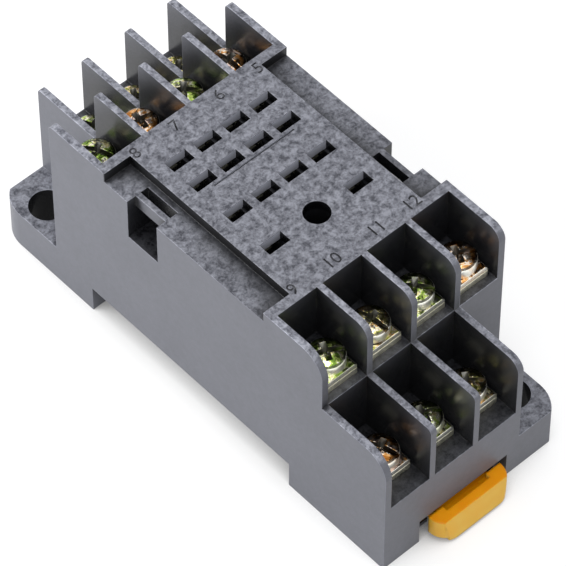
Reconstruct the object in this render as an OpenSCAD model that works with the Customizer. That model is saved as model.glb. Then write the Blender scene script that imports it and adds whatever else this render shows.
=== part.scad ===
// Screw-terminal relay socket with fourteen poles, for a 35 mm rail or a panel.
// +Z is up, Y runs along the socket, and the rail latch is at the Y- end.
// The origin is midway between the two panel holes, in the plane of the feet.

/* [Housing] */
// Width of the housing, across the rail's cut-out
body_w = 29; // [28.5:0.1:29.5]
// Length of the housing, without the latch
body_l = 69.2; // [69:0.1:69.6]
// Height from the feet to the relay's seat
body_h = 29.5; // [29:0.1:30.5]
// Thickness of the two outer walls
wall = 1; // [0.9:0.1:1.1]
// Thickness of the barriers between the terminals
barrier = 0.9; // [0.8:0.1:1]
// Half the length of the upper tier
tier_y = 23.8; // [23.5:0.1:24]
// Half the length of the relay's seat
seat_y = 15.2; // [14.8:0.1:15.4]
// Height of the upper terminals' floor
high_floor = 21; // [20.5:0.1:21.2]
// Height of the lower terminals' floor
low_floor = 11.6; // [11.2:0.1:12]
// Radius on the left wall's corners at the latch end
left_r = 3.5; // [3:0.1:3.8]
// Radius on the corners of the other walls at the latch end
fin_r = 1.9; // [1.6:0.1:2.2]
// Radius on the corners of the lower barriers at the latch end
low_fin_r = 0.8; // [0.6:0.1:1]
// Radius on all corners at the far end
far_r = 0.6; // [0.4:0.1:0.8]

/* [Mounting ears] */
// Height of the ears
ear_h = 6.2; // [5.6:0.1:6.8]
// Distance between the two panel holes across the socket
hole_dx = 22; // [21.6:0.1:22.4]
// Distance between the two panel holes along the socket
hole_dy = 59; // [58.4:0.1:59.4]
// Radius of the panel holes
hole_r = 2.4; // [2.2:0.05:2.45]
// Radius of the ears' outer corners
ear_r = 4.8; // [4.4:0.2:5]
// Distance from an ear's end face to where its corner begins to turn
ear_turn = 3.7; // [3.4:0.1:4]

/* [Rail cut-out] */
// Width of the cut-out that takes a 35 mm rail
rail_w = 35.4; // [35.3:0.1:35.6]
// Height of the cut-out
rail_h = 4.2; // [4.1:0.1:4.6]
// Centre of the rail along the socket
rail_y = -0.5; // [-0.8:0.1:0]
// How far the hooks reach under the rail's edges
hook = 1.4; // [1.2:0.1:1.6]
// Height of the hooks' upper side
hook_top = 3; // [2.8:0.05:3.1]

/* [Latch] */
// Centre of the latch across the socket
latch_x = -1.6; // [-1.7:0.1:-1.4]
// Width of the pull tab
tab_w = 11.6; // [11.4:0.1:11.8]
// How far the pull tab stands out of the housing
tab_out = 2.8; // [2.7:0.1:3]
// How far the latch can be pulled out
latch_travel = 2.5; // [2:0.1:2.6]

/* [Relay seat] */
// Distance between the blade slots across the socket
slot_pitch = 4.4; // [4.3:0.05:4.5]
// Width of a blade slot
slot_w = 3.2; // [3:0.1:3.3]
// Breadth of a blade slot
slot_b = 1.8; // [1.5:0.1:1.9]
// Radius of the central hole
core_r = 1.7; // [1.6:0.05:1.8]
// Distance from the middle of the socket to a side ledge
ledge_x = 10.4; // [10.3:0.1:10.6]
// Depth of the side ledges
ledge_d = 1.5; // [1.4:0.1:1.6]

/* [Terminals] */
// Width of the washers and of the strips under them
plate_w = 5.1; // [4.9:0.1:5.2]
// Length of the washers
plate_l = 5.2; // [5.1:0.1:5.4]
// Distance from the middle of the socket to the upper screws
high_screw_y = 20.1; // [20:0.1:20.3]
// Distance from the middle of the socket to the lower screws
low_screw_y = 29.3; // [29.1:0.1:29.5]
// Radius of the screws' thread
screw_r = 1.45; // [1.4:0.01:1.46]
// Radius of the screws' heads
head_r = 2.4; // [2.3:0.05:2.45]
// Height of the screws' heads
head_h = 2; // [1.8:0.1:2.1]

/* [Hidden] */
$fn = 48;
eps = 0.01;
seat_gap = 0.02;        // between a piece and what it lies on
lift_gap = 0.03;        // under and over a washer
slide_gap = 0.1;        // round the sliding latch
cut = 1;                // how far a cutter runs past a face

half_w = body_w / 2;
half_l = body_l / 2;
pocket_w = (body_w - 2 * wall - 3 * barrier) / 4;
pitch = pocket_w + barrier;
function pocket_x(column) = (column - 1.5) * pitch;
function slot_x(column) = (column - 1.5) * slot_pitch;

// Relay rows, from the far end to the latch end: normally closed, normally
// open, common, and coil. The coil row has its outer two slots only.
row_y = [9.4, 5.3, -0.8, -7.2];
core_y = row_y[3];

// The ears stand beside the lower tier, outside its fourth wall.
ear_x = pocket_x(2) + pocket_w / 2 + barrier;
hole_x = hole_dx / 2;
hole_y = hole_dy / 2;

// Closed space above the feet that takes the base cover
skirt = 1.2;
cover_t = 2;
cover_top = rail_h + cover_t;
cover_gap = 0.1;
// Inner corner of the solid block under each ear
boss_x = ear_x - 1.2;
boss_y = tier_y - 1.2;
foot_near = rail_y - rail_w / 2;
foot_far = rail_y + rail_w / 2;

// Side windows and slots for the relay's hold-down clip
clip_y0 = 4.6;
clip_y1 = 9.8;
clip_floor = 21.4;
clip_bar_t = 0.75;
clip_bar_x = half_w - 1.4 - clip_bar_t;
clip_bar_z = 26;
clip_slot_x = clip_bar_x - 1.15;
clip_back_x = 10.35;

// Contact strips: flat stock, with a fork under each blade slot
strip_t = 1;
strip_w = 1.2;
riser_w = 2.2;
riser_t = 0.8;
fork_base = high_floor + seat_gap;
fork_h = 4.4;
fork_pinch = fork_h - 1.3;
fork_room_top = body_h - 1.5;
channel_gap = 0.1;
channel_h = strip_t + 0.3;
tap_r = 1.5;
washer_t = 0.9;
washer_r = screw_r + 0.08;
shank_l = 6;

// Latch
latch_slot_w = 14.2;
latch_slot_h = 4.1;
latch_low = 0.9;
latch_high = hook_top;
stem_w = 8.6;
finger_w = 1.1;
finger_x = tab_w / 2 - 0.2;
finger_top = latch_high - 0.2;
bar_y = -half_l + skirt + 0.5;
bar_t = 1.4;
barb_y = foot_near - skirt - 4.2;
barb_out = 0.6;
tab_low = 0.5;
tab_top = 3.9;
tab_slope = 0.7;
tab_r = 2.4;
tab_step = [1.2, 0.5];      // width and height of the steps under the tab's ends
tab_notch = [7, 0.7, 0.8];  // width, depth and height of the notch behind its lip
guide_t = 0.8;              // thickness of the latch's guide rails
guide_low = 0.2;
guide_lip = 0.6;            // thickness of their inward lips
stop_l = 1.2;
stem_gap = 0.3;

// Tubular rivet
rivet_r = 1.2;
rivet_bore = 0.8;
rivet_top = 12;

// Every terminal: [tier, end, column, slot row, slot column, lane across]
HIGH = 1;
LOW = 0;
NEAR = -1;
FAR = 1;
TERMINALS = [
    [LOW, FAR, 1, 1, 0, 0],
    [LOW, FAR, 2, 1, 2, 0],
    [LOW, FAR, 3, 1, 3, 0],
    [LOW, NEAR, 1, 1, 1, 0],
    [HIGH, FAR, 3, 0, 3, 0],
    [HIGH, FAR, 2, 0, 2, 0],
    [HIGH, FAR, 1, 0, 1, 0],
    [HIGH, FAR, 0, 0, 0, 0],
    [HIGH, NEAR, 0, 2, 0, -9.3],
    [HIGH, NEAR, 1, 2, 1, 0],
    [HIGH, NEAR, 2, 2, 2, 0],
    [HIGH, NEAR, 3, 2, 3, 9.3],
    [LOW, NEAR, 0, 3, 0, 0],
    [LOW, NEAR, 2, 3, 3, 0],
];

function term_floor(t) = t[0] == HIGH ? high_floor : low_floor;
function term_x(t) = pocket_x(t[2]);
function term_y(t) = t[1] * (t[0] == HIGH ? high_screw_y : low_screw_y);
function blade_x(t) = slot_x(t[4]);
function blade_y(t) = row_y[t[3]];
function lane_x(t) = t[5] == 0 ? term_x(t) : t[5];
// Where a strip steps over to its lane, and from the lane to its fork
function step_out_y(t) = t[1] * (seat_y - 2.2);
function step_in_y(t) = blade_y(t) + t[1] * (t[0] == HIGH ? 1.6 : 3.2);

// A box given by two opposite corners
module block(low, high) {
    translate(low) cube(high - low);
}

// A profile drawn in Y and Z, extruded along X from x0 to x1
module along_x(x0, x1) {
    translate([x0, 0, 0]) rotate([90, 0, 90]) linear_extrude(x1 - x0) children();
}

// What is missing from a corner that is rounded, in the first quadrant
module corner_2d(r) {
    difference() {
        square(r + cut);
        circle(r);
    }
}

// Copies the latch end's shape to both ends
module both_ends() {
    children();
    rotate([0, 0, 180]) children();
}

// ---- Housing ----

module side_profile() {
    difference() {
        union() {
            translate([-half_l, 0]) square([body_l, high_floor]);
            translate([-tier_y, 0]) square([2 * tier_y, body_h]);
        }
        translate([foot_near, -cut]) square([rail_w, rail_h + cut]);
        translate([tier_y - far_r, body_h - far_r]) corner_2d(far_r);
        translate([half_l - far_r, high_floor - far_r]) corner_2d(far_r);
    }
}

// Rounds a corner at the latch end, from x0 to x1
module round_near(y, z, r, x0, x1) {
    along_x(x0, x1) translate([y + r, z - r]) mirror([1, 0]) corner_2d(r);
}

module near_corners() {
    left = -half_w - cut;
    right = half_w + cut;
    round_near(-tier_y, body_h, left_r, left, pocket_x(0) - cut);
    round_near(-tier_y, body_h, fin_r, pocket_x(0) + cut, right);
    round_near(-half_l, high_floor, left_r, left, pocket_x(0) - cut);
    round_near(-half_l, high_floor, low_fin_r, pocket_x(0) + cut, pocket_x(2) - cut);
    round_near(-half_l, high_floor, fin_r, pocket_x(2) + cut, right);
}

module high_pockets() {
    for (column = [0:3])
        block([pocket_x(column) - pocket_w / 2, -tier_y - cut, high_floor],
              [pocket_x(column) + pocket_w / 2, -seat_y, body_h + cut]);
}

module low_pockets() {
    for (column = [0:2])
        block([pocket_x(column) - pocket_w / 2, -half_l - cut, low_floor],
              [pocket_x(column) + pocket_w / 2, -tier_y, high_floor + cut]);
}

// Clears the space above an ear, and bores and rounds the ear
module ear_cut() {
    block([ear_x, -half_l - cut, ear_h], [half_w + cut, -tier_y, high_floor + cut]);
    translate([hole_x, -hole_y, -cut]) cylinder(r = hole_r, h = ear_h + 2 * cut);
    translate([half_w - ear_r, -half_l + ear_turn, -cut]) linear_extrude(ear_h + 2 * cut)
        mirror([0, 1]) corner_2d(ear_r);
}

// Ledge along the X+ side, with the window, bar and slot for the hold-down clip
module clip_cut() {
    block([ledge_x, -13.8, body_h - ledge_d], [half_w + cut, 13.8, body_h + cut]);
    block([clip_bar_x + clip_bar_t, -clip_y1, clip_floor], [half_w + cut, -clip_y0, body_h]);
    block([clip_slot_x, -clip_y1, clip_floor], [clip_bar_x, -clip_y0, body_h]);
    block([clip_back_x, -clip_y1, clip_floor], [half_w, -clip_y0, clip_bar_z]);
}

// Room for the base cover and the latch, open downwards
module underside_cut() {
    inner_x = half_w - skirt;
    inner_y = half_l - skirt;
    difference() {
        union() {
            block([-inner_x, -inner_y, rail_h - eps], [inner_x, inner_y, cover_top + cover_gap]);
            block([-inner_x, -inner_y, -cut], [inner_x, foot_near - skirt, rail_h]);
            block([-inner_x, foot_far + skirt, -cut], [inner_x, inner_y, rail_h]);
        }
        both_ends() block([boss_x, -half_l, -2 * cut], [half_w, -boss_y, cover_top + cut]);
    }
}

// Openings in the foot for the latch: one to the front and one to the rail
module latch_cut() {
    block([latch_x - latch_slot_w / 2, -half_l - cut, -cut],
          [latch_x + latch_slot_w / 2, -half_l + skirt + cut, latch_slot_h]);
    block([latch_x - stem_w / 2 - stem_gap, foot_near - skirt - cut, -cut],
          [latch_x + stem_w / 2 + stem_gap, foot_near + cut, hook_top + stem_gap]);
}

module blade_slots() {
    for (t = TERMINALS)
        translate([blade_x(t) - slot_w / 2, blade_y(t) - slot_b / 2, fork_room_top - eps])
            cube([slot_w, slot_b, body_h - fork_room_top + cut]);
}

// Fixed hook for the rail's far edge, with a sloping underside
module fixed_hook() {
    along_x(-4, 10)
        polygon([[foot_far + eps, hook_top], [foot_far - hook, hook_top], [foot_far - hook, 2],
                 [foot_far + eps, 0.6]]);
}

module housing() {
    color([0.42, 0.43, 0.46]) {
        difference() {
            along_x(-half_w, half_w) side_profile();
            near_corners();
            both_ends() high_pockets();
            both_ends() low_pockets();
            both_ends() ear_cut();
            both_ends() clip_cut();
            underside_cut();
            latch_cut();
            blade_slots();
            for (t = TERMINALS) terminal_room(t);
            translate([0, core_y, rivet_top]) cylinder(r = core_r, h = body_h);
            translate([0, core_y, rail_h]) cylinder(r = rivet_r + 0.1, h = body_h - rail_h - cut);
        }
        fixed_hook();
    }
}

// ---- Base cover and its rivet ----

// Angle-shaped rail that carries one side of the latch
module latch_rail() {
    outer = latch_slot_w / 2;
    inner = outer - guide_t;
    near = -half_l + skirt + 2 * slide_gap;
    far = foot_near - skirt - 2.6;
    lip_top = guide_low + guide_lip;
    stop_y = barb_y - latch_travel - slide_gap;
    translate([latch_x, 0, 0]) {
        block([inner, near, guide_low], [outer, far, rail_h + eps]);
        block([finger_x - finger_w, near, guide_low], [inner + eps, far, lip_top]);
        // Stop for the barb on the latch's finger
        block([finger_x + slide_gap, stop_y - stop_l, lip_top - eps], [inner + eps, stop_y, rail_h + eps]);
    }
}

module base_cover() {
    x = half_w - skirt - cover_gap;
    y = half_l - skirt - cover_gap;
    color([0.36, 0.37, 0.39]) difference() {
        union() {
            block([-x, -y, rail_h], [x, y, cover_top]);
            latch_rail();
            translate([latch_x, 0, 0]) mirror([1, 0, 0]) translate([-latch_x, 0, 0]) latch_rail();
        }
        both_ends() block([boss_x - cover_gap, -half_l, rail_h - cut],
                          [half_w, -boss_y + cover_gap, cover_top + cut]);
        translate([0, core_y, rail_h - cut]) cylinder(r = rivet_r + 0.1, h = cover_t + 2 * cut);
        translate([0, core_y, rail_h - cut]) cylinder(r = 2.1, h = cut + 0.8);
    }
}

module cover_rivet() {
    head_r_top = core_r - 0.1;
    foot_z = rail_h + 0.15;
    color([0.78, 0.76, 0.7]) translate([0, core_y, 0]) difference() {
        union() {
            translate([0, 0, foot_z]) cylinder(r = rivet_r, h = rivet_top + seat_gap + 0.1 - foot_z);
            translate([0, 0, rivet_top + seat_gap]) cylinder(r = head_r_top, h = 0.6);
            translate([0, 0, foot_z]) cylinder(r = 1.9, h = 0.6);
        }
        translate([0, 0, foot_z - cut]) cylinder(r = rivet_bore, h = body_h);
    }
}

// ---- Latch ----

// Flexible finger with a barb that stops the latch from coming out
module latch_finger() {
    block([finger_x - finger_w, bar_y, latch_low], [finger_x, barb_y + 1.6, finger_top]);
    translate([0, 0, latch_low]) linear_extrude(finger_top - latch_low)
        polygon([[finger_x - eps, barb_y], [finger_x + barb_out, barb_y],
                 [finger_x + barb_out, barb_y + 0.5], [finger_x - eps, barb_y + 1.6]]);
}

// Wedge with rounded outer corners, stepped under its ends and notched behind its lip
module pull_tab() {
    front = -half_l - tab_out;
    back = -half_l - slide_gap;
    difference() {
        along_x(-tab_w / 2, tab_w / 2)
            polygon([[back, tab_low], [front, tab_low], [front + tab_slope, tab_top], [back, tab_top]]);
        block([-tab_notch[0] / 2, back - tab_notch[1], tab_top - tab_notch[2]],
              [tab_notch[0] / 2, back + cut, tab_top + cut]);
        for (side = [0, 1]) mirror([side, 0, 0]) {
            block([tab_w / 2 - tab_step[0], front - cut, 0], [half_w, back + cut, tab_low + tab_step[1]]);
            translate([tab_w / 2 - tab_r, front + tab_r, -cut]) linear_extrude(tab_top + 2 * cut)
                mirror([0, 1]) corner_2d(tab_r);
        }
    }
}

module din_latch() {
    stem_y = -half_l - slide_gap - eps;
    nose_y = foot_near + hook;
    color([0.9, 0.58, 0.13]) translate([latch_x, 0, 0]) {
        pull_tab();
        // Stem that runs through the foot, and the nose that hooks under the rail
        along_x(-stem_w / 2, stem_w / 2)
            polygon([[stem_y, latch_low], [nose_y - 1.2, latch_low], [nose_y, 2],
                     [nose_y, latch_high], [stem_y, latch_high]]);
        // Cross-bar that carries the two flexible fingers
        block([-finger_x, bar_y, latch_low], [finger_x, bar_y + bar_t, finger_top]);
        for (side = [0, 1]) mirror([side, 0, 0]) latch_finger();
    }
}

// ---- Terminals ----

// A straight stretch of strip between two points on one line, along X or Y
module leg(a, b, w, t) {
    block([min(a[0], b[0]) - w / 2, min(a[1], b[1]) - w / 2, 0],
          [max(a[0], b[0]) + w / 2, max(a[1], b[1]) + w / 2, t]);
}

// The strip's way from the screw to the fork; grow widens it for its channel
module strip_path(t, grow, thick) {
    w = strip_w + 2 * grow;
    corners = [
        [term_x(t), term_y(t) - t[1] * plate_l / 2],
        [term_x(t), step_out_y(t)],
        [lane_x(t), step_out_y(t)],
        [lane_x(t), step_in_y(t)],
        [blade_x(t), step_in_y(t)],
        [blade_x(t), blade_y(t)],
    ];
    for (i = [0:4]) leg(corners[i], corners[i + 1], w, thick);
}

// One spring leaf of the fork: it leans in to pinch the blade and flares at its tip
module fork_leaf() {
    along_x(-riser_w / 2, riser_w / 2)
        polygon([[0.7, 0], [1.1, 0], [1.1, 1.4], [0.56, fork_pinch], [1, fork_h - 0.1], [0.7, fork_h],
                 [0.2, fork_pinch], [0.7, 1.4]]);
}

module terminal(t) {
    floor_z = term_floor(t) + seat_gap;
    color([0.8, 0.72, 0.42]) difference() {
        union() {
            translate([term_x(t) - plate_w / 2, term_y(t) - plate_l / 2, floor_z])
                cube([plate_w, plate_l, strip_t]);
            translate([0, 0, floor_z]) strip_path(t, 0, strip_t);
            translate([blade_x(t), blade_y(t), 0]) {
                block([-riser_w / 2, -riser_t / 2, floor_z], [riser_w / 2, riser_t / 2, fork_base + strip_t]);
                block([-riser_w / 2, -1.1, fork_base], [riser_w / 2, 1.1, fork_base + strip_t]);
                translate([0, 0, fork_base + strip_t - eps]) {
                    fork_leaf();
                    mirror([0, 1, 0]) fork_leaf();
                }
            }
        }
        translate([term_x(t), term_y(t), floor_z - cut]) cylinder(r = tap_r, h = strip_t + 2 * cut);
    }
}

// The room that one terminal takes in the housing
module terminal_room(t) {
    floor_z = term_floor(t);
    g = channel_gap;
    translate([0, 0, floor_z]) strip_path(t, g, channel_h);
    translate([blade_x(t), blade_y(t), 0]) {
        block([-riser_w / 2 - g, -riser_t / 2 - g, floor_z], [riser_w / 2 + g, riser_t / 2 + g, fork_base]);
        block([-riser_w / 2 - g, -1.3, high_floor], [riser_w / 2 + g, 1.3, fork_room_top]);
    }
    translate([term_x(t), term_y(t), floor_z - 4.3]) cylinder(r = screw_r + 0.35, h = 4.3 + cut);
}

// Square washer, turned down a little at its two free edges
module washer(t) {
    low = term_floor(t) + seat_gap + strip_t + lift_gap;
    color([0.86, 0.8, 0.5]) translate([term_x(t), term_y(t), low]) difference() {
        translate([-plate_w / 2, -plate_l / 2, 0]) cube([plate_w, plate_l, washer_t]);
        translate([0, 0, -cut]) cylinder(r = washer_r, h = washer_t + 2 * cut);
        for (side = [-1, 1]) translate([side * plate_w / 2, -plate_l / 2, washer_t])
            rotate([-90, 45, 0]) translate([-0.3, -0.3, -cut]) cube([0.6, 0.6, plate_l + 2 * cut]);
    }
}

// Pan-head screw with a slot and a cross
module screw(t) {
    seat = term_floor(t) + seat_gap + strip_t + 2 * lift_gap + washer_t;
    crown_r = 6;
    color([0.88, 0.84, 0.56]) translate([term_x(t), term_y(t), seat]) difference() {
        union() {
            translate([0, 0, -shank_l]) cylinder(r = screw_r, h = shank_l + eps);
            intersection() {
                cylinder(r = head_r, h = head_h);
                translate([0, 0, head_h - crown_r]) sphere(r = crown_r, $fn = 96);
            }
        }
        translate([-0.35, -head_r - cut, head_h - 0.8]) cube([0.7, 2 * (head_r + cut), 0.8 + cut]);
        translate([-1.4, -0.35, head_h - 1.1]) cube([2.8, 0.7, 1.1 + cut]);
        translate([-0.35, -1.4, head_h - 1.1]) cube([0.7, 2.8, 1.1 + cut]);
    }
}

housing();
base_cover();
cover_rivet();
din_latch();
terminal(TERMINALS[0]);  // terminal_01
terminal(TERMINALS[1]);  // terminal_02
terminal(TERMINALS[2]);  // terminal_03
terminal(TERMINALS[3]);  // terminal_04
terminal(TERMINALS[4]);  // terminal_05
terminal(TERMINALS[5]);  // terminal_06
terminal(TERMINALS[6]);  // terminal_07
terminal(TERMINALS[7]);  // terminal_08
terminal(TERMINALS[8]);  // terminal_09
terminal(TERMINALS[9]);  // terminal_10
terminal(TERMINALS[10]);  // terminal_11
terminal(TERMINALS[11]);  // terminal_12
terminal(TERMINALS[12]);  // terminal_13
terminal(TERMINALS[13]);  // terminal_14
washer(TERMINALS[0]);  // washer_01
washer(TERMINALS[1]);  // washer_02
washer(TERMINALS[2]);  // washer_03
washer(TERMINALS[3]);  // washer_04
washer(TERMINALS[4]);  // washer_05
washer(TERMINALS[5]);  // washer_06
washer(TERMINALS[6]);  // washer_07
washer(TERMINALS[7]);  // washer_08
washer(TERMINALS[8]);  // washer_09
washer(TERMINALS[9]);  // washer_10
washer(TERMINALS[10]);  // washer_11
washer(TERMINALS[11]);  // washer_12
washer(TERMINALS[12]);  // washer_13
washer(TERMINALS[13]);  // washer_14
screw(TERMINALS[0]);  // screw_01
screw(TERMINALS[1]);  // screw_02
screw(TERMINALS[2]);  // screw_03
screw(TERMINALS[3]);  // screw_04
screw(TERMINALS[4]);  // screw_05
screw(TERMINALS[5]);  // screw_06
screw(TERMINALS[6]);  // screw_07
screw(TERMINALS[7]);  // screw_08
screw(TERMINALS[8]);  // screw_09
screw(TERMINALS[9]);  // screw_10
screw(TERMINALS[10]);  // screw_11
screw(TERMINALS[11]);  // screw_12
screw(TERMINALS[12]);  // screw_13
screw(TERMINALS[13]);  // screw_14
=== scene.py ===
"""Looks of the relay socket: finishes, edges, screws, numerals, light and camera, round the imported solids."""

import math

import bmesh
import bpy
from mathutils import Matrix, Vector


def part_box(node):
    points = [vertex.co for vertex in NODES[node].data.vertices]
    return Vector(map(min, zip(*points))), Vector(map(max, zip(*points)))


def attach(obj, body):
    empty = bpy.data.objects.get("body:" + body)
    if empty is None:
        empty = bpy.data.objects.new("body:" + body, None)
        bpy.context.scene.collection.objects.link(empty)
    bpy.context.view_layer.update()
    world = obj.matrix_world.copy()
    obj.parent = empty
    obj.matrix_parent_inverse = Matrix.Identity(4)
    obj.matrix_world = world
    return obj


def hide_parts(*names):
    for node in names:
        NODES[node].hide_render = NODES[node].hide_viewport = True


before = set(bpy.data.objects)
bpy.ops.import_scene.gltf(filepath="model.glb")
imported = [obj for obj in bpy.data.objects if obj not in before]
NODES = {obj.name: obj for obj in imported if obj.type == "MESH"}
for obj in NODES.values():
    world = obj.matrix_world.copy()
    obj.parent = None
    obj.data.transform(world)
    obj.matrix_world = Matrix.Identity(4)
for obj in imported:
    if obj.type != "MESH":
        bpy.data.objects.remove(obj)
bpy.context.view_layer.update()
MM = 0.001

# Camera, in degrees and metres
CAMERA_AZIMUTH = -42.421
CAMERA_ELEVATION = 52.478
CAMERA_ROLL = -0.0376
CAMERA_DISTANCE = 534.976 * MM
CAMERA_TARGET = Vector((0.2224, -1.1066, 10.0)) * MM
CAMERA_LENS = 283.092
CAMERA_SENSOR = 36.0

# Lamps: name, place, side of the square and power in watts. All of them aim at a point above the origin.
LAMPS = [
    ("key", (-0.165, 0.14, 0.118), 0.12, 0.36),
    ("fill", (-0.27, -0.47, 0.35), 0.4, 0.62),
    ("overhead", (-0.03, -0.035, 0.31), 0.1, 0.24),
]
LAMP_AIM = Vector((0, 0, 0.01))
SKY_LIGHT = 0.5

# Floor: its size, its grey as a light reflector and as the camera sees it, and the glow that makes it white
FLOOR_HALF = 1.5
FLOOR_Z = -0.02 * MM
# Reach of the painted contact shadows on the floor
FLOOR_REACH = 14 * MM
FLOOR_GREY = 0.6
FLOOR_SEEN_GREY = 0.45
FLOOR_GLOW = 0.69

# Rolled edges: their radius by material slot and elsewhere, and the angle from which an edge is sharp
EDGE_R = {"housing": 0.12 * MM, "latch": 0.2 * MM, "washer": 0.14 * MM, "strip": 0.1 * MM}
FINE_EDGE = 0.06 * MM
SHARP = math.radians(34)
# Two directions count as one from this cosine on, and a roll needs this many of its radii as room
SAME_WAY = 0.9
ROOM = 2.2
# Points closer than this are one, and faces that meet at less than this angle are one
WELD = 0.001 * MM
FLAT = math.radians(0.3)

# The screws, as the solids have them
HEAD_R = 2.4 * MM
HEAD_SIDE = 1.45 * MM
HEAD_H = 2.0 * MM
HEAD_FOOT = 0.12 * MM
SHOULDER = 0.35 * MM
SHOULDER_WIDTH = 0.55 * SHOULDER
SHOULDER_BULGE = 1.05
SHANK = 6.0 * MM
ROUND = 48
# Their thread, its tapered tip and the neck that sinks into the head
THREAD_CREST = 1.47 * MM
THREAD_ROOT = 1.2 * MM
THREAD_PITCH = 0.5 * MM
TIP_R = 0.95 * MM
TIP_H = 0.4 * MM
NECK = 0.2 * MM
THREAD_WELD = 0.0005 * MM
# Their recess: a slot right across and a tapering cross, inside a plain rim
RIM = 0.2 * MM
SLOT_HALF = 0.36 * MM
SLOT_DEPTH = 0.8 * MM
CROSS_HALF = 0.42 * MM
CROSS_REACH = 1.5 * MM
CROSS_DEPTH = 1.25 * MM
CROSS_TAPER = 0.45
RECESS_EDGE = 0.05 * MM
# A face of the recess either looks aside, by this cosine, or lies this deep
LEVEL = 0.85
SUNK = 0.7 * MM
RECESS_ANGLES = [17, 62, 38, 75, 8, 51, 84, 29, 66, 12, 43, 70, 24, 57]
# The tint of each screw and of its washer: green, gold or copper
TINTS = ["green", "gold", "gold", "green", "copper", "green", "copper", "green",
         "green", "gold", "green", "copper", "copper", "gold"]

# Marks sunk into the relay's seat
SEAT_Z = 29.5 * MM
SEAT_HALF = 10.2 * MM
UPPER_TERMINALS = range(5, 13)
NUMERAL_H = 1.65 * MM
NUMERAL_Y = 13.65 * MM
NUMERAL_DEPTH = 0.1 * MM
# Height of a numeral as a share of its font's size
CAP_HEIGHT = 0.7
GROOVE = ((-6.1 * MM, 3.72 * MM), (6.5 * MM, 4.0 * MM))
GROOVE_DEPTH = 0.3 * MM

# Regions of the housing that its plastic treats apart
SLOT_AREA_X = 9 * MM
SLOT_AREA_Y = 11.5 * MM
SLOT_LIP = 1.5 * MM
HOLE_SIDE = 2.6 * MM
HOLE_END = -4 * MM
STEP_LOW = 28.05 * MM
STEP_END = 13.9 * MM
SEAT_END = 15.3 * MM
TIER_END = 23.75 * MM
EAR_SIDE = 7.3 * MM
EAR_TOP = 6.15 * MM
BARRIER_LOW = 20 * MM

# The plastic's marks, and its painted light and shade: painted highlights on the barrier tops and slot lips,
# and painted shade in hollows, by ambient occlusion
LIGHT_GREY = (0.298, 0.306, 0.35)
DARK_GREY = (0.055, 0.057, 0.072)
MOTTLE = 0.95 * MM
SPECK = 0.3 * MM
CLOUD = 9 * MM
MOTTLE_SHARE = 0.68
GRAIN_DEPTH = 0.035 * MM
HOLLOW_REACH = 9 * MM
# Painted shade in the hollows: tones by the share of open view
HOLLOW_PAINTED_SHADE = [(0.38, 0.1), (0.64, 0.17), (0.8, 0.45), (0.93, 1.0)]
# Painted light: the far end is made a little lighter, the near end a little darker
FAR_END_PAINTED_LIGHT = 0.04
# Painted highlight on the barrier tops
TOP_PAINTED_HIGHLIGHT = 0.4
# Painted light on the slot lips
LIP_PAINTED_LIGHT = 2.2
# Painted shade on the upright faces in and round the seat
STEP_PAINTED_SHADE = -0.75

# The metals: white zinc, and the first, middle and last colour of each tint
ZINC_WHITE = (0.97, 0.96, 0.88)
# Painted shade inside the screws' recesses, as a share of the zinc's colour
RECESS_PAINTED_SHADE = 0.22
TINT_COLOURS = {
    "green": ((0.20, 0.34, 0.05), (0.62, 0.74, 0.20), (0.80, 0.72, 0.34)),
    "gold": ((0.34, 0.38, 0.08), (0.86, 0.74, 0.26), (0.82, 0.52, 0.20)),
    "copper": ((0.42, 0.16, 0.03), (0.88, 0.48, 0.18), (0.86, 0.62, 0.52)),
}


# ---------------------------------------------------------------- shader helpers
def new_material(name):
    """An empty node material with its output and its Principled shader."""
    made = bpy.data.materials.new(name)
    made.use_nodes = True
    tree = made.node_tree
    tree.nodes.clear()
    output = tree.nodes.new("ShaderNodeOutputMaterial")
    shader = tree.nodes.new("ShaderNodeBsdfPrincipled")
    tree.links.new(shader.outputs["BSDF"], output.inputs["Surface"])
    return made, tree, shader


def add(tree, kind, settings=None, **inputs):
    """A node of that kind, with its settings, and its inputs set to numbers or linked to sockets."""
    node = tree.nodes.new(kind)
    for name, value in (settings or {}).items():
        setattr(node, name, value)
    for name, value in inputs.items():
        plug(tree, node, name, value)
    return node


def plug(tree, node, name, value):
    """Sets an input, or links a socket to it. An underscore and a number stand for the input's index."""
    socket = node.inputs[int(name[1:])] if name[0] == "_" else node.inputs[name]
    if isinstance(value, bpy.types.NodeSocket):
        tree.links.new(value, socket)
    else:
        socket.default_value = value


def noise(tree, place, size, detail=4.0, rough=0.55, warp=0.0):
    """Noise whose blotches are about that size, in metres."""
    node = add(tree, "ShaderNodeTexNoise", None, Vector=place, Scale=1.0 / size, Detail=detail,
               Roughness=rough, Distortion=warp)
    return node.outputs["Fac"]


def ramp(tree, value, stops):
    """A colour ramp: stops are (position, grey or colour)."""
    node = add(tree, "ShaderNodeValToRGB", None, Fac=value)
    band = node.color_ramp
    while len(band.elements) < len(stops):
        band.elements.new(0.5)
    for element, (position, colour) in zip(band.elements, stops):
        element.position = position
        element.color = (*((colour,) * 3 if isinstance(colour, float) else colour), 1.0)
    return node.outputs["Color"]


def mix(tree, mode, factor, first, second):
    """Mix node for colours."""
    node = tree.nodes.new("ShaderNodeMix")
    node.data_type = "RGBA"
    node.blend_type = mode
    plug(tree, node, "_0", factor)
    plug(tree, node, "_6", first)
    plug(tree, node, "_7", second)
    return node.outputs[2]


def shaded(tree, colour, tone):
    """The colour times the tone."""
    return mix(tree, "MULTIPLY", 1.0, colour, tone)


def maths(tree, operation, first, second=0.0):
    """Maths node for two numbers or sockets."""
    node = tree.nodes.new("ShaderNodeMath")
    node.operation = operation
    plug(tree, node, "_0", first)
    plug(tree, node, "_1", second)
    return node.outputs[0]


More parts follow.
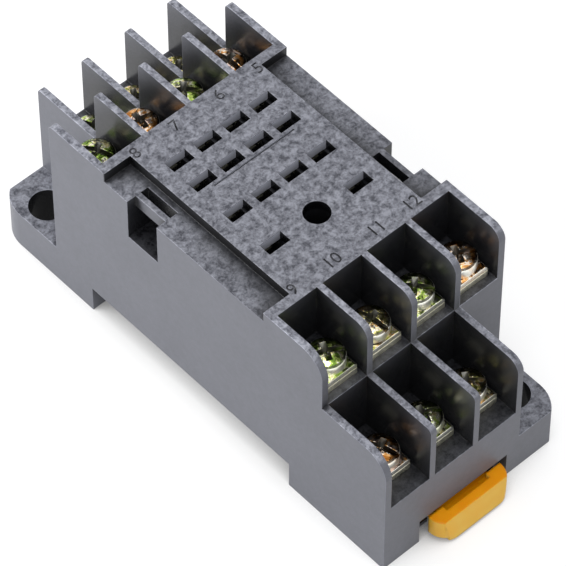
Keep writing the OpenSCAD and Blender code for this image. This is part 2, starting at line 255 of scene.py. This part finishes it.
def plus(tree, first, second):
    """The sum."""
    return maths(tree, "ADD", first, second)


def times(tree, first, *others):
    """The product. Of masks, it is 1 where all of them are."""
    for other in others:
        first = maths(tree, "MULTIPLY", first, other)
    return first


def size_of(tree, value):
    """The value without its sign."""
    return maths(tree, "ABSOLUTE", value)


def over(tree, value, limit):
    """1 where the value is over the limit, 0 elsewhere."""
    return maths(tree, "GREATER_THAN", value, limit)


def under(tree, value, limit):
    """1 where the value is under the limit, 0 elsewhere."""
    return maths(tree, "LESS_THAN", value, limit)


def opposite(tree, mask):
    """1 where the mask is 0, and 0 where it is 1."""
    return maths(tree, "SUBTRACT", 1.0, mask)


def bump(tree, height, depth, strength, edge=0.0):
    """Relief on the surface. With an edge radius, the sharp edges also catch the light as rolled ones do."""
    node = add(tree, "ShaderNodeBump", None, Height=height, Distance=depth, Strength=strength)
    if edge:
        soft = add(tree, "ShaderNodeBevel", {"samples": 6}, Radius=edge)
        plug(tree, node, "Normal", soft.outputs["Normal"])
    return node.outputs["Normal"]


def object_place(tree):
    """The place on the object, in metres, as a vector."""
    return tree.nodes.new("ShaderNodeTexCoord").outputs["Object"]


def face_direction(tree):
    """The direction that the face looks in, as X, Y and Z."""
    normal = tree.nodes.new("ShaderNodeNewGeometry").outputs["True Normal"]
    return add(tree, "ShaderNodeSeparateXYZ", None, Vector=normal).outputs


def upward(tree):
    """1 on faces that look up, 0 on upright ones."""
    return ramp(tree, face_direction(tree)["Z"], [(0.6, 0.0), (0.9, 1.0)])


def open_share(tree, samples, reach, own_shape_only):
    """The share of the view from a point that nothing blocks within that reach."""
    node = tree.nodes.new("ShaderNodeAmbientOcclusion")
    node.samples = samples
    node.only_local = own_shape_only
    node.inputs["Distance"].default_value = reach
    return node.outputs["AO"]


def scaled(colour, factor):
    """The colour, each part times the factor."""
    return tuple(factor * part for part in colour)


# ---------------------------------------------------------------- regions of the housing
def slot_lips(tree, where):
    """1 on the walls of the blade slots that look to the latch end, which get painted light, 0 elsewhere."""
    high = over(tree, where["Z"], SEAT_Z - SLOT_LIP)
    along = under(tree, size_of(tree, where["Y"]), SLOT_AREA_Y)
    across = under(tree, size_of(tree, where["X"]), SLOT_AREA_X)
    near = under(tree, face_direction(tree)["Y"], -SAME_WAY)
    beside_hole = under(tree, size_of(tree, where["X"]), HOLE_SIDE)
    in_hole = times(tree, beside_hole, under(tree, where["Y"], HOLE_END))
    return times(tree, high, along, across, opposite(tree, in_hole), near)


def seat_steps(tree, where, up):
    """1 on the upright faces in and round the relay's seat, which get painted shade, 0 elsewhere."""
    high = over(tree, where["Z"], STEP_LOW)
    inside = under(tree, size_of(tree, where["Y"]), STEP_END)
    return times(tree, high, inside, opposite(tree, up))


def over_ears(tree, where):
    """1 round the two ears, whose corner is open to the light, 0 elsewhere."""
    end = maths(tree, "SIGN", where["Y"])
    beside = over(tree, times(tree, where["X"], end, -1.0), EAR_SIDE)
    beyond = over(tree, size_of(tree, where["Y"]), TIER_END)
    above = over(tree, where["Z"], EAR_TOP)
    return times(tree, beside, beyond, above)


def barrier_tops(tree, where, up):
    """1 on the narrow tops of the barriers, which get a painted highlight, 0 elsewhere."""
    outside = over(tree, size_of(tree, where["Y"]), SEAT_END)
    high = over(tree, where["Z"], BARRIER_LOW)
    return times(tree, outside, high, up)


# ---------------------------------------------------------------- materials
def mottled_grey(tree, up, mottle):
    """Grey with a strong mottle on faces that look up and a calm one on upright faces."""
    middle = tuple((dark + light) / 2 for dark, light in zip(DARK_GREY, LIGHT_GREY))
    strong = ramp(tree, mottle, [(0.39, DARK_GREY), (0.5, middle), (0.61, LIGHT_GREY)])
    calm = ramp(tree, mottle, [(0.3, scaled(middle, 0.82)), (0.7, scaled(middle, 0.98))])
    return mix(tree, "MIX", up, calm, strong)


def hollow_tone(tree, where, up, painted_lit_lips, openness):
    """Painted shade: near 0 deep in the pockets, 1 in the open, by ambient occlusion, a little lighter at the
    far end, darker on the seat's steps, and none on the slot lips and ears.
    """
    painted_far_light = times(tree, maths(tree, "SIGN", where["Y"]), FAR_END_PAINTED_LIGHT)
    tone = ramp(tree, plus(tree, openness, painted_far_light), HOLLOW_PAINTED_SHADE)
    step_painted_shade = plus(tree, times(tree, seat_steps(tree, where, up), STEP_PAINTED_SHADE), 1.0)
    always_open = maths(tree, "MAXIMUM", painted_lit_lips, over_ears(tree, where))
    return maths(tree, "MAXIMUM", times(tree, tone, step_painted_shade), always_open)


def moulded_plastic(name, brightness=1.0):
    """Grey thermoplastic: spark-eroded faces with a mottle, polished inside its hollows, with painted shade in
    the hollows and painted highlights on the barrier tops and slot lips.
    """
    made, tree, shader = new_material(name)
    place = object_place(tree)
    where = add(tree, "ShaderNodeSeparateXYZ", None, Vector=place).outputs
    up = upward(tree)
    blotches = times(tree, noise(tree, place, MOTTLE, 6.0, 0.64, 0.45), MOTTLE_SHARE)
    specks = times(tree, noise(tree, place, SPECK, 3.0, 0.6), 1 - MOTTLE_SHARE)
    mottle = plus(tree, blotches, specks)
    clouds = ramp(tree, noise(tree, place, CLOUD, 2.0, 0.5), [(0.3, 0.92 * brightness), (0.7, brightness)])
    painted_lit_lips = slot_lips(tree, where)
    # Painted highlights: lighter barrier tops and slot lips
    painted_highlight = plus(tree, times(tree, barrier_tops(tree, where, up), TOP_PAINTED_HIGHLIGHT), 1.0)
    painted_highlight = plus(tree, painted_highlight, times(tree, painted_lit_lips, LIP_PAINTED_LIGHT))
    openness = open_share(tree, 8, HOLLOW_REACH, True)
    colour = mottled_grey(tree, up, mottle)
    # Painted shade in the hollows, from ambient occlusion, darkens the colour
    for tone in (clouds, painted_highlight, hollow_tone(tree, where, up, painted_lit_lips, openness)):
        colour = shaded(tree, colour, tone)
    plug(tree, shader, "Base Color", colour)
    plug(tree, shader, "Roughness", ramp(tree, openness, [(0.35, 0.2), (0.75, 0.46)]))
    shader.inputs["Specular IOR Level"].default_value = 0.4
    plug(tree, shader, "Normal", bump(tree, mottle, GRAIN_DEPTH, 0.55, EDGE_R["housing"]))
    return made


def chromated_steel(name, first, middle, last, tone=1.0):
    """Yellow-passivated zinc: tinted and stained where it lies flat, duller on upright faces, which are painted
    paler as a painted highlight.
    """
    made, tree, shader = new_material(name)
    place = object_place(tree)
    up = upward(tree)
    drift = noise(tree, place, 1.6 * MM, 3.0, 0.6, 1.5)
    stops = [(0.4, first), (0.5, middle), (0.55, ZINC_WHITE), (0.59, last)]
    tint = ramp(tree, drift, [(at, scaled(colour, tone)) for at, colour in stops])
    stain = ramp(tree, noise(tree, place, 0.9 * MM, 4.0, 0.7, 0.8), [(0.43, 0.12), (0.51, 1.0)])
    flat = shaded(tree, tint, stain)
    # Painted highlight: the upright faces are given a paler, whiter colour
    pale = tuple(tone * (0.3 * a + 0.7 * b) for a, b in zip(middle, ZINC_WHITE))
    side_painted_highlight = ramp(tree, drift, [(0.42, pale), (0.52, scaled(ZINC_WHITE, tone))])
    plug(tree, shader, "Base Color", mix(tree, "MIX", up, side_painted_highlight, flat))
    shader.inputs["Metallic"].default_value = 1.0
    fine = noise(tree, place, 0.3 * MM, 2.0, 0.5)
    smooth = ramp(tree, fine, [(0.3, 0.1), (0.7, 0.24)])
    plug(tree, shader, "Roughness", mix(tree, "MIX", up, (0.4, 0.4, 0.4, 1.0), smooth))
    plug(tree, shader, "Normal", bump(tree, fine, 0.02 * MM, 0.6))
    return made


def plain_metal(name, colour, rough):
    """Metal with a faint wear in its colour and its gloss."""
    made, tree, shader = new_material(name)
    fine = noise(tree, object_place(tree), 0.4 * MM, 3.0, 0.6)
    plug(tree, shader, "Base Color", ramp(tree, fine, [(0.3, scaled(colour, 0.82)), (0.7, colour)]))
    shader.inputs["Metallic"].default_value = 1.0
    plug(tree, shader, "Roughness", ramp(tree, fine, [(0.3, rough * 0.8), (0.7, rough * 1.2)]))
    return made


def orange_latch(name):
    """Glossy, slightly translucent orange moulding, with painted shade that makes the faces that look up a
    deeper, darker orange than the front.
    """
    made, tree, shader = new_material(name)
    place = object_place(tree)
    flow = noise(tree, place, 4 * MM, 2.0, 0.5, 0.5)
    # Painted light and shade: a lighter orange on the front, a darker one on the faces that look up
    front_painted_light = ramp(tree, flow, [(0.3, (1.0, 0.53, 0.04)), (0.7, (1.0, 0.61, 0.09))])
    top_painted_shade = ramp(tree, flow, [(0.3, (0.95, 0.32, 0.001)), (0.7, (1.0, 0.39, 0.002))])
    plug(tree, shader, "Base Color", mix(tree, "MIX", upward(tree), front_painted_light, top_painted_shade))
    shader.inputs["Roughness"].default_value = 0.3
    shader.inputs["Specular IOR Level"].default_value = 0.3
    shader.inputs["Subsurface Weight"].default_value = 0.2
    shader.inputs["Subsurface Radius"].default_value = (1.0 * MM, 0.4 * MM, 0.1 * MM)
    shader.inputs["Subsurface Scale"].default_value = 1.0
    fine = noise(tree, place, 0.5 * MM, 2.0, 0.5)
    plug(tree, shader, "Normal", bump(tree, fine, 0.01 * MM, 0.4, 2 * EDGE_R["latch"]))
    return made


HOUSING = moulded_plastic("housing_plastic")
# Painted highlight: the housing's rolled edges take a copy of its plastic 1.7 times lighter
HOUSING_EDGE_HIGHLIGHT = moulded_plastic("housing_edges_painted_highlight", 1.7)
COVER = moulded_plastic("cover_plastic", 0.45)
ZINC = {tint: chromated_steel("zinc_" + tint, *three) for tint, three in TINT_COLOURS.items()}
# Painted shade: darker copies of the zinc for the faces of the recesses
SHADED_RECESS_ZINC = {tint: chromated_steel("recess_" + tint, *three, RECESS_PAINTED_SHADE) for tint, three in TINT_COLOURS.items()}
BRASS = plain_metal("contact_brass", (0.97, 0.94, 0.76), 0.4)
RIVET = plain_metal("rivet_steel", (0.22, 0.21, 0.2), 0.4)
ORANGE = orange_latch("latch_orange")


# ---------------------------------------------------------------- mesh helpers
def link(name, mesh):
    """A new object in the scene."""
    made = bpy.data.objects.new(name, mesh)
    bpy.context.scene.collection.objects.link(made)
    return made


def hidden(name, mesh):
    """A shape that only cuts others, or is joined to them."""
    made = link(name, mesh)
    made.hide_render = True
    return made


def mesh_of(name, points, faces):
    """A mesh from its points and the faces between them."""
    mesh = bpy.data.meshes.new(name)
    mesh.from_pydata(points, [], faces)
    mesh.update()
    return mesh


def evaluated(obj, name):
    """A mesh with that object's modifiers applied."""
    bpy.context.view_layer.update()
    graph = bpy.context.evaluated_depsgraph_get()
    mesh = bpy.data.meshes.new_from_object(obj.evaluated_get(graph), depsgraph=graph)
    mesh.name = name
    return mesh


def boolean(obj, cutter, operation="DIFFERENCE"):
    """Takes the other shape out of the object, or joins it to it."""
    step = obj.modifiers.new(operation.lower(), "BOOLEAN")
    step.operation = operation
    step.solver = "EXACT"
    step.object = cutter


def roll_edges(obj, radius, angle):
    """Rolls the edges sharper than that angle."""
    rolled = obj.modifiers.new("edges", "BEVEL")
    rolled.width = radius
    rolled.segments = 2
    rolled.limit_method = "ANGLE"
    rolled.angle_limit = angle
    rolled.harden_normals = True
    rolled.use_clamp_overlap = True


# ---------------------------------------------------------------- the carried-over solids
def finish_solid(node, finish, edge=0.0):
    """Gives a solid its finish, and rolls its sharp edges where a radius is given."""
    piece = NODES[node]
    piece.data.materials.clear()
    piece.data.materials.append(finish)
    if edge:
        weld = piece.modifiers.new("weld", "WELD")
        weld.merge_threshold = WELD
        flat = piece.modifiers.new("flat", "DECIMATE")
        flat.decimate_type = "DISSOLVE"
        flat.angle_limit = FLAT
        roll_edges(piece, edge, SHARP)


def finish_solids():
    """Finishes every solid that stays in view: the cover, the rivet, the strips and the washers."""
    finish_solid("base_cover", COVER)
    finish_solid("cover_rivet", RIVET, FINE_EDGE)
    for number, tint in enumerate(TINTS, 1):
        finish_solid(f"terminal_{number:02d}", BRASS, EDGE_R["strip"])
        finish_solid(f"washer_{number:02d}", ZINC[tint], EDGE_R["washer"])


def runs_on(edge, corner):
    """The edge that carries this one on past that corner in nearly the same direction, if there is one."""
    way = (corner.co - edge.other_vert(corner).co).normalized()
    for other in corner.link_edges:
        onward = (other.other_vert(corner).co - corner.co).normalized()
        if other is not edge and way.dot(onward) > SAME_WAY:
            return other
    return None


def has_room(edge, radius):
    """True if the edge can be rolled to that radius without running into a smaller feature."""
    room = ROOM * radius
    for corner in edge.verts:
        onward = runs_on(edge, corner)
        if edge.calc_length() < room and not onward:
            return False
        for other in corner.link_edges:
            if other not in (edge, onward) and other.calc_length() < room:
                return False
    return True


def rolled_copy(node, radius, finishes):
    """The solid with its outward edges rolled to that radius where they have room, in the last finish."""
    shape = bmesh.new()
    shape.from_mesh(NODES[node].data)
    bmesh.ops.remove_doubles(shape, verts=shape.verts, dist=WELD)
    bmesh.ops.dissolve_limit(shape, angle_limit=FLAT, verts=shape.verts, edges=shape.edges)
    edges = [edge for edge in shape.edges if edge.is_manifold and edge.is_convex
             and edge.calc_face_angle(0) > SHARP and has_room(edge, radius)]
    bmesh.ops.bevel(shape, geom=edges, offset=radius, segments=2, profile=0.5, affect="EDGES",
                    clamp_overlap=True, material=len(finishes) - 1)
    mesh = bpy.data.meshes.new(node)
    shape.to_mesh(mesh)
    shape.free()
    for finish in finishes:
        mesh.materials.append(finish)
    return mesh


def carved(mesh, cutter):
    """The mesh with the cutter's shape taken out of it. The cutter is used up."""
    plain = link("plain", mesh)
    boolean(plain, cutter)
    result = evaluated(plain, mesh.name)
    bpy.data.objects.remove(plain)
    bpy.data.objects.remove(cutter)
    return result


def replace_moulding(node, body, mesh, smooth):
    """Puts a mesh in place of a solid, with faces that meet at under that many degrees shaded as one."""
    mesh.shade_smooth()
    mesh.set_sharp_from_angle(angle=math.radians(smooth))
    made = link(node + "_moulding", mesh)
    normals = made.modifiers.new("normals", "WEIGHTED_NORMAL")
    normals.keep_sharp = True
    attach(made, body)
    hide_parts(node)


def housing():
    """The housing, its edges rolled and its seat marked."""
    # The rolled faces take the lighter plastic, a painted highlight
    mesh = rolled_copy("housing", EDGE_R["housing"], (HOUSING, HOUSING_EDGE_HIGHLIGHT))
    replace_moulding("housing", "root", carved(mesh, marks_cutter()), 30)


def latch():
    """The rail latch, its edges rolled."""
    mesh = rolled_copy("din_latch", EDGE_R["latch"], (ORANGE,))
    replace_moulding("din_latch", "latch", mesh, 16)


# ---------------------------------------------------------------- numerals and groove
def numeral(text):
    """A number as a closed flat body, centred on the origin, twice its depth thick."""
    curve = bpy.data.curves.new("numeral", "FONT")
    curve.body = text
    curve.align_x = "CENTER"
    curve.align_y = "CENTER"
    curve.size = NUMERAL_H / CAP_HEIGHT
    curve.extrude = NUMERAL_DEPTH
    curve.resolution_u = 3
    holder = link("numeral", curve)
    mesh = evaluated(holder, "numeral")
    bpy.data.objects.remove(holder)
    bpy.data.curves.remove(curve)
    return mesh


def add_numerals(shape):
    """Adds the upper terminals' numbers, each beside its screw and within the seat."""
    for number in UPPER_TERMINALS:
        low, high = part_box(f"screw_{number:02d}")
        middle = (low + high) / 2
        mesh = numeral(str(number))
        half = max(abs(point.co.x) for point in mesh.vertices)
        x = max(-SEAT_HALF + half, min(SEAT_HALF - half, middle.x))
        y = math.copysign(NUMERAL_Y, middle.y)
        mesh.transform(Matrix.Translation((x, y, SEAT_Z)))
        shape.from_mesh(mesh)
        bpy.data.meshes.remove(mesh)
    bmesh.ops.remove_doubles(shape, verts=shape.verts, dist=WELD)


def marks_cutter():
    """The upper terminals' numbers, and the groove between two rows of slots, as one hidden cutter."""
    shape = bmesh.new()
    add_numerals(shape)
    (x0, y0), (x1, y1) = GROOVE
    centre = Matrix.Translation(((x0 + x1) / 2, (y0 + y1) / 2, SEAT_Z))
    size = Matrix.Diagonal((x1 - x0, y1 - y0, 2 * GROOVE_DEPTH, 1))
    bmesh.ops.create_cube(shape, size=1, matrix=centre @ size)
    bmesh.ops.recalc_face_normals(shape, faces=shape.faces)
    mesh = bpy.data.meshes.new("marks")
    shape.to_mesh(mesh)
    shape.free()
    return hidden("marks", mesh)


# ---------------------------------------------------------------- screws
def ring_points(radius, z):
    """Points round the Z axis."""
    return [(radius * math.cos(math.tau * i / ROUND), radius * math.sin(math.tau * i / ROUND), z)
            for i in range(ROUND)]


def lathe(name, profile):
    """A closed body of revolution: profile is (radius, z) from the lower centre to the upper one."""
    points, faces, rings = [], [], []
    for radius, z in profile:
        rings.append(len(points))
        points += ring_points(radius, z) if radius > 0 else [(0, 0, z)]
    for lower, upper, (r0, _), (r1, _) in zip(rings, rings[1:], profile, profile[1:]):
        for i in range(ROUND):
            j = (i + 1) % ROUND
            if r0 == 0:
                faces.append((lower, upper + j, upper + i))
            elif r1 == 0:
                faces.append((lower + i, lower + j, upper))
            else:
                faces.append((lower + i, lower + j, upper + j, upper + i))
    return mesh_of(name, points, faces)


def head_mesh():
    """Pan head: flat seat, upright side, rounded shoulder and a low crown."""
    shoulder_z = HEAD_SIDE - SHOULDER
    profile = [(0, 0), (HEAD_R - HEAD_FOOT, 0), (HEAD_R, HEAD_FOOT), (HEAD_R, shoulder_z)]
    for turn in (20, 40, 60):
        a = math.radians(turn)
        r = HEAD_R - SHOULDER_WIDTH + SHOULDER_WIDTH * math.cos(a)
        profile.append((r, shoulder_z + SHOULDER * math.sin(a) * SHOULDER_BULGE))
    rise = HEAD_H - HEAD_SIDE
    crown_r = (HEAD_R ** 2 + rise ** 2) / (2 * rise)
    for share in (0.86, 0.74, 0.6, 0.45, 0.3, 0.15, 0):
        r = HEAD_R * share
        profile.append((r, HEAD_H - crown_r + math.sqrt(crown_r ** 2 - r ** 2)))
    return lathe("head", profile)


def bar_mesh(name, half_width, half_length, low, high, taper=1.0):
    """A bar along Y, its section narrowing downwards to taper times its size."""
    points = []
    for z, share in ((low, taper), (high, 1.0)):
        for sx, sy in ((-1, -1), (1, -1), (1, 1), (-1, 1)):
            points.append((sx * half_width * share, sy * half_length * share, z))
    faces = [(3, 2, 1, 0), (4, 5, 6, 7), (0, 1, 5, 4), (1, 2, 6, 5), (2, 3, 7, 6), (3, 0, 4, 7)]
    return mesh_of(name, points, faces)


def recess_cutters():
    """The slot, and the two bars of the cross, as hidden cutters."""
    slot = bar_mesh("slot", SLOT_HALF, HEAD_R * 1.25, HEAD_H - SLOT_DEPTH, HEAD_H + MM)
    cutters = [hidden("slot", slot)]
    low, high = HEAD_H - CROSS_DEPTH, HEAD_H + RECESS_EDGE
    for turn in (0, math.pi / 2):
        bar = bar_mesh("cross", CROSS_HALF, CROSS_REACH, low, high, CROSS_TAPER)
        bar.transform(Matrix.Rotation(turn, 4, "Z"))
        cutters.append(hidden("cross", bar))
    return cutters


def thread_point(i, j, rows):
    """The point of column i and row j on the thread, as radius and height."""
    levels = (THREAD_ROOT, THREAD_ROOT, THREAD_CREST, THREAD_CREST)
    places = (0.0, 0.2, 0.55, 0.7)
    turn, row = divmod(j, rows)
    z = -SHANK + (turn + places[row] - i / ROUND) * THREAD_PITCH
    r = levels[row]
    if z <= -SHANK:
        return TIP_R, -SHANK
    if z < -SHANK + TIP_H:
        r = min(r, TIP_R + (z + SHANK) / TIP_H * (THREAD_CREST - TIP_R))
    if z >= NECK:
        return THREAD_ROOT, NECK
    return r, z


def thread_mesh():
    """One closed shank whose rows of points follow the thread's helix; it tapers at its tip."""
    rows = 4
    turns = int(SHANK / THREAD_PITCH)
    count = rows * (turns + 1) + 1
    points, faces = [], []
    for i in range(ROUND + 1):
        angle = math.tau * i / ROUND
        for j in range(count):
            r, z = thread_point(i, j, rows)
            points.append((r * math.cos(angle), r * math.sin(angle), z))
    for i in range(ROUND):
        for j in range(count - 1):
            a, b = i * count + j, (i + 1) * count + j
            faces.append((a, b, b + 1, a + 1))
    mesh = mesh_of("thread", points, faces)
    shape = bmesh.new()
    shape.from_mesh(mesh)
    bmesh.ops.remove_doubles(shape, verts=shape.verts, dist=THREAD_WELD)
    bmesh.ops.dissolve_degenerate(shape, edges=shape.edges, dist=THREAD_WELD)
    bmesh.ops.holes_fill(shape, edges=[edge for edge in shape.edges if edge.is_boundary], sides=0)
    bmesh.ops.recalc_face_normals(shape, faces=shape.faces)
    shape.to_mesh(mesh)
    shape.free()
    return mesh


def in_recess(face):
    """True if the face is a wall or the floor of the slot or the cross."""
    lowest = HEAD_H - CROSS_DEPTH - RECESS_EDGE
    within = face.center.z > lowest and face.center.xy.length < HEAD_R - RIM
    return within and (face.normal.z < LEVEL or face.center.z < HEAD_H - SUNK)


def screw_template():
    """A pan-head screw with its seat at the origin, a slot and a cross in its crown, and a real thread."""
    body = link("screw_template", head_mesh())
    cutters = recess_cutters()
    for cutter in cutters:
        boolean(body, cutter)
    roll_edges(body, RECESS_EDGE, math.radians(30))
    thread = hidden("thread", thread_mesh())
    boolean(body, thread, "UNION")
    mesh = evaluated(body, "screw")
    for used in (body, thread, *cutters):
        bpy.data.objects.remove(used)
    return mesh


def screws():
    """Puts a threaded screw, in its tint and turned its own way, in place of each plain one."""
    template = screw_template()
    for number, (angle, tint) in enumerate(zip(RECESS_ANGLES, TINTS), 1):
        node = f"screw_{number:02d}"
        low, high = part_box(node)
        middle = (low + high) / 2
        mesh = template.copy()
        for finish in (ZINC[tint], SHADED_RECESS_ZINC[tint]):
            mesh.materials.append(finish)
        # Faces of the recess take the darker zinc, a painted shade
        for face in mesh.polygons:
            face.material_index = int(in_recess(face))
        place = Matrix.Translation((middle.x, middle.y, high.z - HEAD_H))
        mesh.transform(place @ Matrix.Rotation(math.radians(angle), 4, "Z"))
        mesh.shade_smooth()
        mesh.set_sharp_from_angle(angle=math.radians(32))
        made = link("threaded_" + node, mesh)
        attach(made, node)
        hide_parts(node)
    bpy.data.meshes.remove(template)


# ---------------------------------------------------------------- stage, light and camera
def look_along(place, aim):
    """Matrix of an object at place whose -Z looks at aim."""
    turn = (aim - place).to_track_quat("-Z", "Y")
    return Matrix.Translation(place) @ turn.to_matrix().to_4x4()


def camera():
    """The camera, at its azimuth, elevation, roll and distance."""
    azimuth, elevation, roll = (math.radians(a) for a in (CAMERA_AZIMUTH, CAMERA_ELEVATION, CAMERA_ROLL))
    back = Vector((math.sin(azimuth) * math.cos(elevation), -math.cos(azimuth) * math.cos(elevation),
                   math.sin(elevation)))
    right = Vector((math.cos(azimuth), math.sin(azimuth), 0))
    up = back.cross(right)
    across = right * math.cos(roll) + up * math.sin(roll)
    upright = up * math.cos(roll) - right * math.sin(roll)
    lens = bpy.data.cameras.new("camera")
    lens.lens = CAMERA_LENS
    lens.sensor_width = CAMERA_SENSOR
    lens.clip_start = 0.01
    lens.clip_end = 10
    made = link("camera", lens)
    turn = Matrix((across, upright, back)).transposed().to_4x4()
    made.matrix_world = Matrix.Translation(CAMERA_TARGET + back * CAMERA_DISTANCE) @ turn
    bpy.context.scene.camera = made


def softbox(name, place, size, power):
    """A square lamp that aims at the object."""
    lamp = bpy.data.lights.new(name, "AREA")
    lamp.shape = "SQUARE"
    lamp.size = size
    lamp.energy = power
    made = link(name, lamp)
    made.matrix_world = look_along(Vector(place), LAMP_AIM)


def shown(tree, seen, unseen):
    """The first shader for camera rays and for mirror-like or see-through ones, the second for the others."""
    path = tree.nodes.new("ShaderNodeLightPath").outputs
    direct = maths(tree, "MAXIMUM", path["Is Camera Ray"], path["Is Glossy Ray"])
    direct = maths(tree, "MAXIMUM", direct, path["Is Transmission Ray"])
    node = add(tree, "ShaderNodeMixShader", None, _0=direct, _1=unseen.outputs[0], _2=seen.outputs[0])
    return node.outputs[0]


def studio():
    """Soft light from all round, a white background, and the lamps."""
    world = bpy.data.worlds.new("world")
    bpy.context.scene.world = world
    world.use_nodes = True
    tree = world.node_tree
    tree.nodes.clear()
    output = tree.nodes.new("ShaderNodeOutputWorld")
    soft = add(tree, "ShaderNodeBackground", None, Color=(0.97, 0.98, 1.0, 1), Strength=SKY_LIGHT)
    white = add(tree, "ShaderNodeBackground", None, Color=(1, 1, 1, 1), Strength=1.0)
    tree.links.new(shown(tree, white, soft), output.inputs["Surface"])
    for lamp in LAMPS:
        softbox(*lamp)


def paper():
    """White paper for the camera, a plain grey reflector for the light, with painted soft contact shadows from
    ambient occlusion.
    """
    made = bpy.data.materials.new("paper")
    made.use_nodes = True
    tree = made.node_tree
    tree.nodes.clear()
    output = tree.nodes.new("ShaderNodeOutputMaterial")
    openness = open_share(tree, 12, FLOOR_REACH, False)
    # Painted shadow: the paper is darker where the solids close it in
    painted_contact_shadow = ramp(tree, openness, [(0.0, 0.02), (0.3, 0.5), (0.55, 0.93), (0.8, 1.0)])
    seen_grey = shaded(tree, (FLOOR_SEEN_GREY, FLOOR_SEEN_GREY, FLOOR_SEEN_GREY, 1), painted_contact_shadow)
    matt = add(tree, "ShaderNodeBsdfDiffuse", None, Color=(FLOOR_GREY, FLOOR_GREY, FLOOR_GREY, 1))
    pale = add(tree, "ShaderNodeBsdfDiffuse", None, Color=seen_grey)
    glow = add(tree, "ShaderNodeEmission", None, Color=painted_contact_shadow, Strength=FLOOR_GLOW)
    seen = add(tree, "ShaderNodeAddShader", None, _0=pale.outputs[0], _1=glow.outputs[0])
    tree.links.new(shown(tree, seen, matt), output.inputs["Surface"])
    return made


def floor():
    """A plain pale floor just under the feet."""
    half = FLOOR_HALF
    corners = [(-half, -half, FLOOR_Z), (half, -half, FLOOR_Z), (half, half, FLOOR_Z), (-half, half, FLOOR_Z)]
    made = link("floor", mesh_of("floor", corners, [(0, 1, 2, 3)]))
    made.data.materials.append(paper())


finish_solids()
housing()
latch()
screws()
camera()
studio()
floor()
bpy.context.scene.view_settings.view_transform = "Standard"
